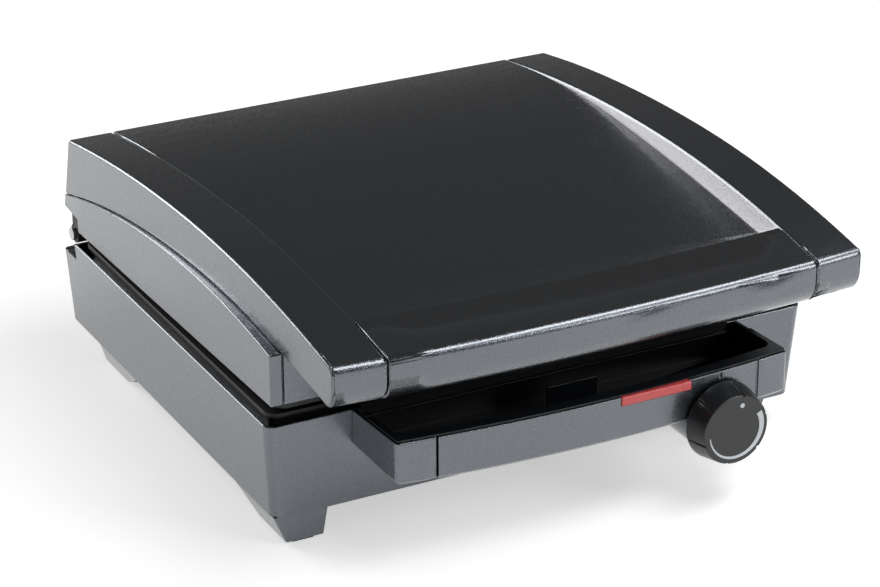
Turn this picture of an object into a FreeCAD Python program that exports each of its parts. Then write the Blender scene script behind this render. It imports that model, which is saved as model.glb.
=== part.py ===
"""Sandwich maker with a hinged lid, built as separate pieces that seat on one another.

Working frame: x to the right, y to the back from the base's front wall, z up from the floor.
Before it is written, every piece is moved so that the origin lies under the middle of the whole box.
"""
import FreeCAD
import Part
import math
import os

V = FreeCAD.Vector

# Overall sizes, in millimetres
base_width = 344.0
base_depth = 304.0
base_top = 76.0
foot_height = 18.0
lid_height = 77.7

# Walls, clearances, and how far a cutting tool runs past what it cuts
wall = 2.5
lid_wall = 3.0
seam_gap = 0.4
fit_gap = 0.3
seat_gap = 0.1
past = 5.0

# Base housing: its four walls lean in towards the floor
side_draft = 4.2
front_draft = 3.5
rear_draft = 1.0
corner_radius = 6.5
rear_corner = 3.5
deck_drop = 10.0
deck_depth = 21.0
edge_wall = 2.0
well_depth = 6.0
rim_ledge = 7.5
wire_hole_radius = 6.0

# Feet and their pads: front and rear edges at the housing and at the floor, the rear pair from the back
front_foot_top = (4.5, 61.0)
front_foot_bottom = (3.5, 40.0)
rear_foot_top_setback = (103.0, 42.0)
rear_foot_bottom_setback = (73.0, 35.0)
foot_side_inset = 0.6
right_foot_inset = 16.0
foot_top_width = 33.0
foot_bottom_width = 23.0
foot_splay = 6.5
foot_corner = 1.0
pad_thickness = 2.0
pad_inset = 2.5
pad_corner = 3.0

# Bottom cover
vent_rows = 8
vent_pitch = 12.0
vent_width = 4.0
vent_length = 56.0
vent_from_middle = 62.0
vent_front = 100.0

# Console at the front
console_x = 2.6
console_width = 247.0
console_front = 62.5
console_bow = 8.6
console_rise = 2.8
console_height = 22.6
console_corner = 3.5
console_edge = 2.0
panel_x = 3.0
panel_width = 201.4
panel_groove_width = 1.2
panel_groove_depth = 0.9
panel_thickness = 3.0
index_width = 1.0
index_top = 0.9
index_length = 3.3
index_depth = 0.5

# Pilot lens and lamp
lens_left = 12.3
lens_length = 44.7
lens_height = 5.4
lens_depth = 7.0
lens_stand = 0.7
lens_wall = 1.2
lens_edge = 0.8
lamp_radius = 1.5
lamp_length = 24.0
lamp_cap = 3.0
lamp_leg = 1.4

# Thermostat, its boss under the console, and the knob
knob_x = 78.0
knob_below_top = 25.5
knob_face_radius = 20.6
knob_back_radius = 23.6
knob_depth = 15.0
knob_gap = 1.0
knob_groove_stop = 1.5
knob_wall = 2.0
knob_grooves = 6
knob_groove_width = 1.1
knob_groove_depth = 0.7
knob_turned = 13.5
knob_socket_radius = 5.5
shaft_radius = 2.5
shaft_flat = 0.8
shaft_reach = 10.0
shaft_in_body = 5.0
boss_radius = 20.5
boss_wall = 2.0
boss_setback = 0.4
neck_wall = 1.2
thermostat_radius = 14.0
thermostat_length = 18.0
blade_width = 4.8
blade_thickness = 0.8
blade_length = 7.0
blade_spread = 6.0

# Drip tray
tray_wall = 1.2
tray_side_gap = 0.6
tray_front_gap = 5.8
tray_rear_gap = 0.8
tray_floor_gap = 0.3
tray_corner = 8.0
tray_margin = 1.0
tray_rear_drop = 4.6
tray_rear_ledge = 5.0
tray_rear_slope = 11.0
tray_grip_length = 32.0
tray_grip_top = 2.0
tray_grip_y = 30.0
tray_grip_thickness = 1.6

# Cooking plates
plate_margin = 4.1
plate_front = 6.0
plate_rear_gap = 4.0
plate_corner = 8.0
rim_lift = 1.5
rim_thickness = 2.7
upper_rim_thickness = 3.0
upper_rim_inset = 4.6
plate_gap = 2.2
bead_gap = 0.3
skirt_inset = 3.0
skirt_width = 4.0
pan_side_inset = 15.9
pan_front_inset = 9.0
pan_rear_inset = 8.5
pan_corner = 14.0
pan_wall = 4.0
pan_depth = 14.0
floor_thickness = 4.0
upper_pan_depth = 9.0
rib_pitch = 15.0
rib_width = 4.0
rib_height = 3.0
rib_root = 0.5
rib_side_margin = 12.0
rib_front_margin = 3.0
rib_rear_margin = 6.0
channel_width = 9.0
channel_depth = 1.8
channel_side = 8.0
tongue_width = 232.6
tongue_reach = 4.6
tongue_drop = 2.6
tongue_lift = 0.6
tongue_thickness = 2.4
tongue_corner = 4.5
spout_width = 60.0
spout_step = 1.6
plate_screw_x = 58.0

# Heating elements, pressed flat where they lie on the plates, with their reflectors and straps
element_width = 7.2
element_height = 6.4
element_inset = 38.0
element_bend = 28.0
terminal_spread = 24.0
terminal_reach = 18.0
terminal_bend = 7.0
reflector_thickness = 0.8
reflector_gap = 8.0
reflector_wall = 7.0
reflector_inset = 3.0
reflector_corner = 9.0
clamp_width = 14.0
clamp_thickness = 1.5

# Lid cover: an arch of two arcs seen from the side, with a sunk middle panel
lid_side_inset = 8.0
lid_taper = 2.5
lid_rear_setback = 4.9
lid_rear_height = 61.9
arch_apex_y = 100.0
arch_front_radius = 888.0
lip_front = 73.8
lip_bow = 6.8
lip_nose_radius = 4.5
lip_face_height = 50.2
lip_under_depth = 12.0
lip_under_height = 34.5
lip_bulge = 2.0
strip_front_width = 31.6
strip_rear_width = 27.0
recess_depth = 14.0
recess_setback = 14.1
recess_full = 20.0
recess_valley = -13.0
valley_length = 6.0
recess_crest = -35.0
lip_rise_run = 0.36
lip_rise_share = 0.72
cheek_end_y = -6.0
cheek_end_height = 44.7
cheek_lip_y = -57.0
cheek_lip_height = 38.0
heel_depth = 3.0
strip_stand = 0.1

# Lid frame: side wings, front wall, rear wall and the flange that carries the upper plate
wing_inset = 1.5
wing_toe_in = 3.8
wing_front = -3.5
wing_end_width = 7.4
wing_apex_y = 90.0
wing_apex_height = 51.0
wing_rear_height = 25.2
wing_front_radius = 676.0
wing_meeting_steps = 5
frame_front_y = -2.5
frame_front_edge = 13.9
front_wall_edge = 13.2
shadow_line = 1.0
shadow_depth = 1.5
frame_rear_edge = 4.4
step_setback = 14.5
rear_wall_overhang = 7.5
rear_wall_foot_height = 14.5
rear_step_height = 12.8
frame_flange = 2.5
frame_skirt_inset = 2.5
web_rise = 1.0
wing_ledge_drop = 30.0
wing_return = 5.0

# Hinges
hinge_setback = 7.0
hinge_above_top = 1.0
hinge_barrel_radius = 6.0
hinge_pin_radius = 2.5
hinge_pin_head = 4.0
hinge_head_length = 2.0
hinge_side_inset = 12.0
hinge_ear = 8.0
hinge_arm_width = 12.0
hinge_foot_thickness = 2.5

# Inlet for the mains lead, terminal block and cut-out
gland_x = -118.0
gland_height = 38.0
gland_radius = 7.5
gland_bore = 3.6
gland_flange = 2.0
gland_flange_half = 9.5
gland_inside = 7.0
gland_stand = 2.5
block_ways = 3
block_length = 40.0
block_width = 16.0
block_height = 14.0
block_setback = 46.0
block_opening = 4.5
block_way_height = 5.6
block_well_edge = 4.0
cutout_x = -70.0
cutout_from_front = 60.0
cutout_radius = 7.0
cutout_height = 6.0

# Screws
screw_radius = 1.6
screw_head_radius = 3.0
screw_head_height = 1.8
screw_length = 12.0
pilot_length = 14.0
post_width = 9.0
post_height = 20.0
side_post_y = 150.0
side_post_x = 22.0
front_post_y = 12.0

# Places worked out from the sizes above
half_base = base_width / 2
half_lid = half_base - lid_side_inset
foot_z = foot_height
rear_foot_top = tuple(base_depth - setback for setback in rear_foot_top_setback)
rear_foot_bottom = tuple(base_depth - setback for setback in rear_foot_bottom_setback)
deck_z = base_top - deck_drop
deck_y = base_depth - deck_depth
ledge_z = base_top - well_depth
knob_z = base_top - knob_below_top
hinge_y = base_depth - hinge_setback
hinge_z = base_top + hinge_above_top
hinge_centre_x = half_base - hinge_side_inset
lid_rear_top = base_depth - lid_rear_setback
recess_start = lid_rear_top - recess_setback
frame_step_y = base_depth - step_setback
rear_wall_foot_y = base_depth + rear_wall_overhang
strip_seam_front = half_lid - strip_front_width
strip_seam_rear = half_lid - strip_rear_width
wing_end_x = half_base - wing_inset - wing_end_width
plate_half = half_base - plate_margin
plate_rear = deck_y - wall - plate_rear_gap
pan_half = plate_half - pan_side_inset
pan_front = plate_front + pan_front_inset
pan_rear = plate_rear - pan_rear_inset
pan_middle = (pan_front + pan_rear) / 2
rim_base = base_top + rim_lift
rim_top = rim_base + rim_thickness
upper_rim_base = rim_top + plate_gap
upper_rim_top = upper_rim_base + upper_rim_thickness
web_z = base_top + frame_front_edge + web_rise
lower_floor_z = rim_top - pan_depth
lower_pan_z = lower_floor_z - floor_thickness
upper_roof_z = upper_rim_base + upper_pan_depth
upper_pan_z = upper_roof_z + floor_thickness
lower_reflector_z = lower_pan_z - element_height - reflector_gap
upper_reflector_z = upper_pan_z + element_height + reflector_gap
console_half = console_width / 2
console_top = base_top + console_rise
console_bottom = base_top - console_height
panel_half = panel_width / 2
lip_radius = (half_lid ** 2 + lip_bow ** 2) / (2 * lip_bow)
lip_axis_y = lip_radius - lip_front
sky = base_top + lid_height + past


def box(x0, x1, y0, y1, z0, z1):
    return Part.makeBox(x1 - x0, y1 - y0, z1 - z0, V(x0, y0, z0))


def rod(start, direction, radius, length):
    return Part.makeCylinder(radius, length, start, direction)


def fuse(shapes):
    body = shapes[0]
    if len(shapes) > 1:
        body = shapes[0].multiFuse(shapes[1:])
    return body.removeSplitter()


def cut(body, tools):
    for tool in tools:
        body = body.cut(tool)
    return body.removeSplitter()


def line(a, b):
    return Part.LineSegment(a, b).toShape()


def arc(a, b, c):
    return Part.Arc(a, b, c).toShape()


def face_of(edges):
    return Part.Face(Part.Wire(Part.sortEdges(edges)[0]))


def outline(x0, x1, y0, y1, z, radius):
    """Closed wire of a level rectangle, with round corners or with sharp ones at a radius of 0."""
    if radius <= 0:
        corners = [V(x0, y0, z), V(x1, y0, z), V(x1, y1, z), V(x0, y1, z)]
        return Part.makePolygon(corners + corners[:1])
    k = radius * (1 - math.sqrt(0.5))
    return Part.Wire([
        line(V(x0 + radius, y0, z), V(x1 - radius, y0, z)),
        arc(V(x1 - radius, y0, z), V(x1 - k, y0 + k, z), V(x1, y0 + radius, z)),
        line(V(x1, y0 + radius, z), V(x1, y1 - radius, z)),
        arc(V(x1, y1 - radius, z), V(x1 - k, y1 - k, z), V(x1 - radius, y1, z)),
        line(V(x1 - radius, y1, z), V(x0 + radius, y1, z)),
        arc(V(x0 + radius, y1, z), V(x0 + k, y1 - k, z), V(x0, y1 - radius, z)),
        line(V(x0, y1 - radius, z), V(x0, y0 + radius, z)),
        arc(V(x0, y0 + radius, z), V(x0 + k, y0 + k, z), V(x0 + radius, y0, z)),
    ])


def slab(x0, x1, y0, y1, z0, z1, radius):
    return Part.Face(outline(x0, x1, y0, y1, z0, radius)).extrude(V(0, 0, z1 - z0))


def tapered_block(low, high, z0, z1, front_radius, rear_radius):
    """Block between two level rectangles, each given as x0, x1, y0, y1, with rounded side edges."""
    block = Part.makeWedge(low[0], z0, -low[3], -high[3], high[0], low[1], z1, -low[2], -high[2], high[1])
    block.rotate(V(0, 0, 0), V(1, 0, 0), 90)
    middle = (low[2] + low[3]) / 2
    for radius, at_rear in ((front_radius, False), (rear_radius, True)):
        if radius > 0:
            upright = [edge for edge in block.Edges if edge.BoundBox.ZLength > (z1 - z0) / 2
                       and (edge.BoundBox.Center.y > middle) == at_rear]
            block = block.makeFillet(radius, upright)
    return block


def plan_prism(points, z0, z1):
    """Upright prism on a polygon given as x and y."""
    corners = [V(x, y, z0) for x, y in points]
    return Part.Face(Part.makePolygon(corners + corners[:1])).extrude(V(0, 0, z1 - z0))


def side_prism(points, x0, x1):
    """Prism across the appliance on a polygon given as y and z."""
    corners = [V(x0, y, z) for y, z in points]
    return Part.Face(Part.makePolygon(corners + corners[:1])).extrude(V(x1 - x0, 0, 0))


def cut_corner_slab(x0, x1, y0, y1, z0, z1, corner):
    """Slab whose corners are cut off at an angle, as in folded sheet."""
    return plan_prism([(x0 + corner, y0), (x1 - corner, y0), (x1, y0 + corner), (x1, y1 - corner),
                       (x1 - corner, y1), (x0 + corner, y1), (x0, y1 - corner), (x0, y0 + corner)], z0, z1)


def mirrored(shape):
    return shape.mirror(V(0, 0, 0), V(1, 0, 0))


def middle_y():
    """Middle of the whole appliance from front to back."""
    front = min(-lip_front, knob_back_y() - knob_depth)
    return (rear_wall_foot_y + front) / 2


def write(name, shape):
    moved = shape.copy()
    moved.translate(V(0, -middle_y(), 0))
    solids = moved.Solids
    body = solids[0] if len(solids) == 1 else Part.makeCompound(solids)
    body.exportStep("parts/" + name + ".step")
    print(name, len(solids), "solids", round(moved.Volume / 1000, 1), "cm3", moved.isValid())


# Base housing


def base_sizes(z, inset):
    """The housing's outline at a height, as x0, x1, y0, y1."""
    half = side_wall_x(z) - inset
    return -half, half, front_wall_y(z) + inset, rear_wall_y(z) - inset


def base_block(z0, z1, inset):
    return tapered_block(base_sizes(z0, inset), base_sizes(z1, inset), z0, z1, corner_radius - inset,
                         rear_corner - inset)


def front_wall_y(z):
    return front_draft * (base_top - z) / (base_top - foot_z)


def side_wall_x(z):
    return half_base - side_draft * (base_top - z) / (base_top - foot_z)


def rear_wall_y(z):
    return base_depth - rear_draft * (deck_z - z) / (base_top - foot_z)


def foot(top, bottom, inset, z_low, corner):
    """Tapered foot at the left, from the housing's lower rim down to a height."""
    outer = side_wall_x(foot_z) - foot_side_inset
    low = outer - foot_splay
    top_sizes = (-outer + inset, -outer + foot_top_width - inset, top[0] + inset, top[1] - inset)
    low_sizes = (-low + inset, -low + foot_bottom_width - inset, bottom[0] + inset, bottom[1] - inset)
    return tapered_block(low_sizes, top_sizes, z_low, foot_z, corner, corner)


def all_four(front_left, rear_left):
    """The left front and rear shapes with their right partners; the front right one stands further in."""
    front_right = mirrored(front_left)
    front_right.translate(V(-right_foot_inset, 0, 0))
    return [front_left, rear_left, front_right, mirrored(rear_left)]


def feet(inset, z_low, corner):
    return all_four(foot(front_foot_top, front_foot_bottom, inset, z_low, corner),
                    foot(rear_foot_top, rear_foot_bottom, inset, z_low, corner))


def panel_y(x):
    """Front face of the console at x."""
    return -console_front + console_bow * ((x - console_x) / console_half) ** 2


def bowed_plan(side, front, root_y, z):
    """Plan inside the console's, set in from its sides and its front."""
    x0, x1 = console_x - console_half + side, console_x + console_half - side
    end_y = -console_front + console_bow + front
    return Part.Wire([
        line(V(x0, root_y, z), V(x0, end_y, z)),
        arc(V(x0, end_y, z), V(console_x, -console_front + front, z), V(x1, end_y, z)),
        line(V(x1, end_y, z), V(x1, root_y, z)),
        line(V(x1, root_y, z), V(x0, root_y, z)),
    ])


def console_plan(inset, z):
    """Plan of the console: straight ends and a front that bows forward."""
    return bowed_plan(inset, inset, front_wall_y(console_bottom) + wall / 2, z)


def upright_edges(shape, y_limit):
    """Vertical edges in front of a limit."""
    found = []
    for edge in shape.Edges:
        bounds = edge.BoundBox
        if bounds.XLength < seat_gap and bounds.YLength < seat_gap and bounds.YMax < y_limit:
            found.append(edge)
    return found


def console_block(inset, z0, z1):
    block = Part.Face(console_plan(inset, z0)).extrude(V(0, 0, z1 - z0))
    radius = max(console_corner - inset, console_corner / 3)
    return block.makeFillet(radius, upright_edges(block, -console_front / 2))


def console_top_z(y):
    """The console's top slopes down to the base's top at the wall."""
    return base_top - y * console_rise / (console_front - console_bow)


def above_console(rise):
    """Everything above the console's sloping top, from a rise over it."""
    far = -console_front - past
    return side_prism([(past, console_top_z(past) + rise), (far, console_top_z(far) + rise), (far, sky), (past, sky)],
                      -half_base, half_base)


def console_shell():
    outer = console_block(0.0, console_bottom, console_top + past).cut(above_console(0.0))
    low_edges = [edge for edge in outer.Edges
                 if edge.BoundBox.ZMax < console_bottom + seat_gap and edge.BoundBox.YMin < -console_front / 3]
    outer = outer.makeChamfer(console_edge, low_edges)
    return outer.cut(console_block(panel_thickness, console_bottom + wall, console_top + 2 * past))


def front_skin():
    """The console's front wall, from end to end."""
    behind = console_block(panel_thickness, console_bottom - past, console_top + 2 * past)
    return console_shell().cut(behind)


def panel_zone(gap):
    """Space of the separate middle panel, narrowed by a gap at each end."""
    half = panel_half - gap
    return box(panel_x - half, panel_x + half, -console_front - past, -console_front / 2, console_bottom - past, sky)


def panel_grooves():
    """Grooves beside the middle panel, as deep all along as the front is bowed."""
    beside = panel_zone(-panel_groove_width).cut(panel_zone(0.0))
    return beside.cut(console_block(panel_groove_depth, 0.0, 2 * sky))


def knob_axis_rod(radius, y0, y1):
    return rod(V(knob_x, y0, knob_z), V(0, 1, 0), radius, y1 - y0)


def below_console(rise):
    """Everything under the console's floor, up to a rise above its underside."""
    return box(0, base_width, -base_width, base_depth, 0, console_bottom + rise)


def boss_front_y():
    return panel_y(knob_x) + boss_setback


def thermostat_boss():
    """Round boss under the console, behind the knob."""
    return knob_axis_rod(boss_radius, boss_front_y(), front_wall_y(knob_z) + wall / 2).common(
        below_console(wall / 2))


def boss_room():
    return knob_axis_rod(boss_radius - boss_wall, boss_front_y() + boss_wall, 0.0).common(below_console(0.0))


def neck_room():
    return knob_axis_rod(shaft_radius + fit_gap + neck_wall + fit_gap, -console_front - past,
                         boss_front_y() + boss_wall + seat_gap)


def cover_screw_places():
    """Two screws beside the walls and one behind the front wall."""
    x = half_base - side_post_x
    return [(-x, side_post_y), (x, side_post_y), (0.0, front_post_y)]


def screw_posts():
    """Blocks on the walls that take the bottom cover's screws."""
    z0 = foot_z + wall
    z1 = z0 + post_height
    half = post_width / 2
    outer = side_wall_x(z0) - wall / 2
    posts = []
    for x, y in cover_screw_places():
        if x < 0:
            posts.append(box(-outer, x + half, y - half, y + half, z0, z1))
        elif x > 0:
            posts.append(box(x - half, outer, y - half, y + half, z0, z1))
        else:
            posts.append(box(-half, half, front_wall_y(z0) + wall / 2, y + half, z0, z1))
    return posts


def wire_hole():
    """Hole for the wires from the boss through the front wall."""
    return rod(V(knob_x, -wall, knob_z - wire_hole_radius), V(0, 1, 0), wire_hole_radius, 3 * wall)


def tub():
    """Housing with a ledge that carries the lower plate, a lower deck at the back for the hinges, and screw posts."""
    outer = base_block(foot_z, base_top, 0.0)
    rear_notch = box(-base_width, base_width, deck_y, base_depth + past, deck_z, sky)
    cavity = base_block(foot_z, ledge_z - wall, wall)
    behind_well = box(-base_width, base_width, deck_y - wall, base_depth + past, 0, sky)
    well = base_block(ledge_z, base_top + past, edge_wall).cut(behind_well)
    under_deck = box(-base_width, base_width, deck_y - wall, base_depth + past, deck_z - wall, sky)
    shell = outer.cut(rear_notch).cut(cavity.cut(under_deck)).cut(well)
    shell = fuse([shell] + screw_posts())
    opening = rim_slab(rim_ledge, rim_ledge, ledge_z - 2 * wall, base_top + past)
    gland_hole = on_rear_wall(rod(V(0, -2 * wall, 0), V(0, 1, 0), gland_radius + seat_gap, 4 * wall))
    pilots = [rod(V(x, y, foot_z), V(0, 0, 1), screw_radius, pilot_length) for x, y in cover_screw_places()]
    return cut(shell, [opening, wire_hole(), gland_hole] + pilots)


def behind_split():
    """Room behind the plane where the rear wall joins the housing, at the wall's lower inner edge."""
    return box(-base_width, base_width, rear_wall_y(foot_z) - wall, base_depth + past, 0, sky)


def base_housing():
    """Front, sides and deck of the tub."""
    return cut(tub(), [behind_split()])


def base_rear_wall():
    """Rear wall of the tub, which carries the lead's bush."""
    return tub().common(behind_split())


def foot_legs():
    """Four hollow legs under the housing's lower rim and the bottom cover, open at the top."""
    return Part.makeCompound([leg.cut(hollow) for leg, hollow in
                              zip(feet(0.0, pad_thickness, foot_corner), feet(wall, pad_thickness + wall, 0.0))])


def base_bottom_cover():
    """Vented plate inside the housing's lower rim, screwed to the posts."""
    inset = wall + fit_gap
    plate = base_block(foot_z, foot_z + wall, inset)
    vents = []
    for row in range(vent_rows):
        y = vent_front + vent_pitch * row
        for side in (-1, 1):
            x = side * vent_from_middle
            vents.append(box(x - vent_length / 2, x + vent_length / 2, y, y + vent_width, 0, foot_z + past))
    holes = [rod(V(x, y, 0), V(0, 0, 1), screw_radius + fit_gap, foot_z + past)
             for x, y in cover_screw_places()]
    return cut(plate, vents + holes)


def rubber_feet():
    low = side_wall_x(foot_z) - foot_side_inset - foot_splay
    pads = [cut_corner_slab(-low + pad_inset, -low + foot_bottom_width - pad_inset, span[0] + pad_inset,
                            span[1] - pad_inset, 0.0, pad_thickness, pad_corner)
            for span in (front_foot_bottom, rear_foot_bottom)]
    return Part.makeCompound(all_four(*pads))


def bottom_cover_screws():
    screws = []
    for x, y in cover_screw_places():
        head = rod(V(x, y, foot_z), V(0, 0, -1), screw_head_radius, screw_head_height)
        screws.append(head.fuse(rod(V(x, y, foot_z), V(0, 0, 1), screw_radius, screw_length)))
    return Part.makeCompound(screws)


# Console pieces


def front_console():
    """Bowed console with the knob's boss; its open back meets the housing's front wall."""
    body = fuse([console_shell(), thermostat_boss()])
    panel_room = front_skin().common(panel_zone(0.0))
    behind = base_block(foot_z, base_top + past, 0.0)
    return cut(body, [behind, panel_room, panel_grooves(), boss_room(), neck_room(), wire_hole()])


def lens_box(grow):
    top = console_top + lens_stand + grow
    front = -console_front - lens_stand - grow
    return box(lens_left - grow, lens_left + lens_length + grow, front, front + lens_depth + 2 * grow,
               top - lens_height - 2 * grow, top)


def control_panel():
    """Bowed front panel with the lens notch, the index mark over the knob and the shaft's notch."""
    skin = front_skin().common(panel_zone(seam_gap))
    skin = skin.cut(console_block(panel_thickness - seat_gap, 0.0, sky))
    mark = box(knob_x - index_width / 2, knob_x + index_width / 2, -console_front - past, 0.0,
               console_top - index_top - index_length, console_top - index_top)
    mark = mark.cut(console_block(index_depth, console_bottom, sky))
    return cut(skin, [lens_box(seat_gap), mark, neck_room()])


def pilot_lens():
    body = lens_box(0.0)
    top = console_top + lens_stand
    edges = [edge for edge in body.Edges
             if edge.BoundBox.ZMin > top - seat_gap and edge.BoundBox.XLength > lens_length / 2]
    body = body.makeFillet(lens_edge, edges)
    front = -console_front - lens_stand
    room = box(lens_left + lens_wall, lens_left + lens_length - lens_wall, front + lens_wall,
               front + lens_depth - lens_wall, top - 2 * lens_height, top - lens_wall)
    return body.cut(room)


def pilot_lamp():
    """Small glow tube inside the lens, on a leg that stands on the console's floor."""
    top = console_top + lens_stand - lens_wall - fit_gap
    middle = -console_front - lens_stand + lens_depth / 2
    x = lens_left + lens_length / 2 - lamp_length / 2
    tube = rod(V(x, middle, top - lamp_radius), V(1, 0, 0), lamp_radius, lamp_length)
    back = panel_y(x) + panel_thickness + seat_gap
    cap = box(x - lamp_cap, x, middle - lamp_radius, back + lamp_leg, top - 2 * lamp_radius, top)
    leg = box(x - lamp_cap, x, back, back + lamp_leg, console_bottom + wall, top - lamp_radius)
    return fuse([tube, cap, leg])


def blades(x, y, z, length):
    """Two flat terminals that point to the back."""
    return [box(x + side * blade_spread - blade_width / 2, x + side * blade_spread + blade_width / 2,
                y, y + length, z - blade_thickness / 2, z + blade_thickness / 2) for side in (-1, 1)]


def thermostat_body():
    """Thermostat case against the boss's front wall, with a neck through it for the shaft."""
    y0 = boss_front_y() + boss_wall
    case = knob_axis_rod(thermostat_radius, y0, y0 + thermostat_length).common(below_console(-fit_gap))
    neck = knob_axis_rod(shaft_radius + fit_gap + neck_wall, y0 - boss_wall, y0)
    bore = knob_axis_rod(shaft_radius + fit_gap, y0 - past, y0 + shaft_in_body + fit_gap)
    tabs = blades(knob_x, y0 + thermostat_length, knob_z - thermostat_radius / 2, blade_length)
    return cut(fuse([case, neck] + tabs), [bore])


def thermostat_shaft():
    end = knob_back_y() - shaft_reach
    body = knob_axis_rod(shaft_radius, end, boss_front_y() + boss_wall + shaft_in_body)
    flat = box(knob_x - past, knob_x + past, end - past, end + shaft_reach - past / 2,
               knob_z + shaft_radius - shaft_flat, knob_z + past)
    return body.cut(flat)


def knob_back_y():
    """The knob's back clears the bowed panel where that stands furthest forward beside the shaft."""
    return panel_y(knob_x - knob_back_radius) - knob_gap


def control_knob():
    """Tapered hollow knob with a socket for the shaft and grooves in its rim."""
    back = knob_back_y()
    face = back - knob_depth
    toward = V(0, -1, 0)
    body = Part.makeCone(knob_back_radius, knob_face_radius, knob_depth, V(knob_x, back, knob_z), toward)
    hollow = knob_axis_rod(knob_face_radius - knob_wall, face + knob_wall, back + past)
    socket = knob_axis_rod(knob_socket_radius, face + knob_wall, back - fit_gap)
    bore = knob_axis_rod(shaft_radius + seat_gap, back - shaft_reach, back + past)
    body = fuse([body.cut(hollow), socket])
    taper = math.degrees(math.atan((knob_back_radius - knob_face_radius) / knob_depth))
    grooves = []
    for turn in range(knob_grooves):
        blade = Part.makeBox(knob_groove_width, knob_depth + past - knob_groove_stop, 2 * knob_wall)
        blade.translate(V(-knob_groove_width / 2, -past, knob_face_radius - knob_groove_depth))
        blade.rotate(V(0, 0, knob_face_radius), V(1, 0, 0), taper)
        blade.translate(V(knob_x, face, knob_z))
        blade.rotate(V(knob_x, face, knob_z), V(0, 1, 0), knob_turned + turn * 360 / knob_grooves)
        grooves.append(blade)
    return cut(body, [bore] + grooves)


def drip_tray():
    """Shallow tray whose flange lies on the console's walls; its back drops, under the plate's tongue."""
    side = panel_thickness + tray_side_gap
    front = panel_thickness + tray_front_gap
    z0 = console_bottom + wall + tray_floor_gap

    def prism(more, low):
        block = Part.Face(bowed_plan(side + more, front + more, -tray_rear_gap - more, low)).extrude(
            V(0, 0, sky - low))
        return block.makeFillet(tray_corner - more, upright_edges(block, -console_front / 3))

    cover = Part.Face(bowed_plan(tray_margin, tray_margin, -tray_rear_gap, z0)).extrude(V(0, 0, sky - z0))
    cover = cover.makeFillet(console_corner - tray_margin, upright_edges(cover, -console_front / 2))
    flange = cover.common(above_console(seat_gap)).cut(lens_box(fit_gap))
    shell = cut(prism(0.0, z0).fuse(flange), [above_console(seat_gap + tray_wall), prism(tray_wall, z0 + tray_wall)])
    rear_z = base_top - tray_rear_drop
    ledge = -tray_rear_gap - tray_rear_ledge
    knee = ledge - tray_rear_slope
    above_rear = side_prism([(past, rear_z), (ledge, rear_z), (knee, console_top_z(knee) + tray_wall),
                             (knee, sky), (past, sky)], -half_base, half_base)
    grip = box(-tray_grip_length / 2, tray_grip_length / 2, -tray_grip_y, -tray_grip_y + tray_grip_thickness,
               z0 + tray_wall / 2, base_top + tray_grip_top)
    return fuse([shell.cut(above_rear), grip])


# Cooking plates


def rim_slab(side_inset, inset, z0, z1):
    """Slab inside the lower plate's outline; the side inset alone sets it in at the sides."""
    half = plate_half - side_inset
    return slab(-half, half, plate_front + inset, plate_rear - inset, z0, z1, plate_corner - inset)


def upper_rim_slab(inset, z0, z1):
    return rim_slab(upper_rim_inset + inset, inset, z0, z1)


def pan_slab(inset, z0, z1):
    return slab(-pan_half + inset, pan_half - inset, pan_front + inset, pan_rear - inset, z0, z1,
                pan_corner - inset)


def rib_teeth(z_root, z_tip):
    """Long ribs with sloping flanks, from front to back."""
    y0 = pan_front + pan_wall + channel_width + rib_front_margin
    y1 = pan_rear - pan_wall - rib_rear_margin
    root, tip = rib_width / 2, rib_width / 4
    count = int(2 * (pan_half - pan_wall - rib_side_margin) / rib_pitch)
    teeth = []
    for index in range(count + 1):
        x = rib_pitch * (index - count / 2)
        corners = [V(x - root, y0, z_root), V(x + root, y0, z_root), V(x + tip, y0, z_tip), V(x - tip, y0, z_tip)]
        teeth.append(Part.Face(Part.makePolygon(corners + corners[:1])).extrude(V(0, y1 - y0, 0)))
    return teeth


def plate_screw_places():
    return [(-plate_screw_x, pan_middle), (plate_screw_x, pan_middle)]


def drip_tongue():
    """Lip that overhangs the drip tray, with rounded lower corners."""
    half = tongue_width / 2
    over = box(-half, half, -tongue_reach, pan_front, base_top + tongue_lift, rim_top)
    apron = box(-half, half, -tongue_reach, -tongue_reach + tongue_thickness, base_top - tongue_drop, rim_top)
    tongue = fuse([over, apron])
    low = [edge for edge in tongue.Edges
           if edge.BoundBox.ZMax < base_top and edge.BoundBox.XLength < seat_gap]
    return tongue.makeFillet(tongue_corner, low)


def lower_plate():
    """Pan whose rim stands on the housing's ledge by a skirt; its wall rises to just below the upper plate."""
    pocket = pan_slab(pan_wall, lower_floor_z, sky)
    skirt = rim_slab(skirt_inset, skirt_inset, ledge_z, rim_top)
    skirt = skirt.cut(rim_slab(skirt_inset + skirt_width, skirt_inset + skirt_width, ledge_z - past, rim_base))
    body = fuse([rim_slab(0.0, 0.0, rim_base, rim_top), skirt, pan_slab(0.0, lower_pan_z, upper_rim_base - bead_gap),
                 drip_tongue()]).cut(pocket)
    pocket_front = pan_front + pan_wall
    side = pan_half - pan_wall - channel_side
    channel = box(-side, side, pocket_front, pocket_front + channel_width, lower_floor_z - channel_depth, sky)
    spout_z = base_top + tongue_lift + spout_step
    spout = side_prism([(-2 * tongue_reach, spout_z), (pan_front, spout_z), (pocket_front, lower_floor_z),
                        (pocket_front, sky), (-2 * tongue_reach, sky)], -spout_width / 2, spout_width / 2)
    holes = [rod(V(x, y, lower_pan_z - past), V(0, 0, 1), screw_radius, past + floor_thickness / 2)
             for x, y in plate_screw_places()]
    ribs = rib_teeth(lower_floor_z - rib_root, lower_floor_z + rib_height)
    return cut(fuse([cut(body, [channel, spout])] + ribs), holes)


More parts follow.
